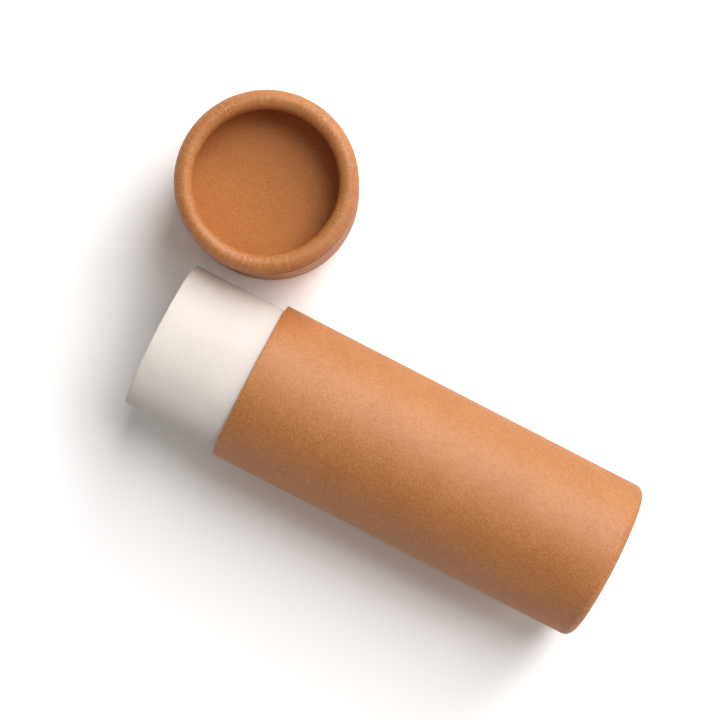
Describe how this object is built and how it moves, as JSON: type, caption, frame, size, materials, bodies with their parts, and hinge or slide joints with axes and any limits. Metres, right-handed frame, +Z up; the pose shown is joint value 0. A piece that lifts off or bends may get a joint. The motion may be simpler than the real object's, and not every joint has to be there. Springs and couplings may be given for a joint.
{
  "type": "cardboard push-up tube",
  "caption": "Round kraft board push-up tube lying on its side, with a cream inner tube that stands out as a neck, a sliding push disc, and its rolled-rim cap standing beside it.",
  "frame": {"origin": "on the floor, in the middle of the area that the tube and its cap cover", "axes": "+Z up, +X along the tube from its mouth to its rolled bottom, +Y from the tube towards the cap"},
  "size_m": [0.1284, 0.0806, 0.04],
  "materials": {
    "kraft_board": "matt, fine fibres",
    "cream_board": "matt, smooth lining paper"
  },
  "bodies": {
    "tube": {"outer_tube": "kraft_board", "inner_tube": "cream_board"},
    "pusher": {"push_disc": "cream_board", "push_ring": "kraft_board"},
    "cap": {"cap_shell": "kraft_board", "cap_disc": "kraft_board", "cap_liner": "cream_board"}
  },
  "joints": [
    {"name": "pusher_slide", "type": "slide", "parent": "tube", "child": "pusher", "axis": [-1, 0, 0], "range_m": [0, 0.1023]},
    {"name": "cap_lift", "type": "slide", "parent": "tube", "child": "cap", "axis": [0, 0, 1], "range_m": [0, 0.045]}
  ]
}
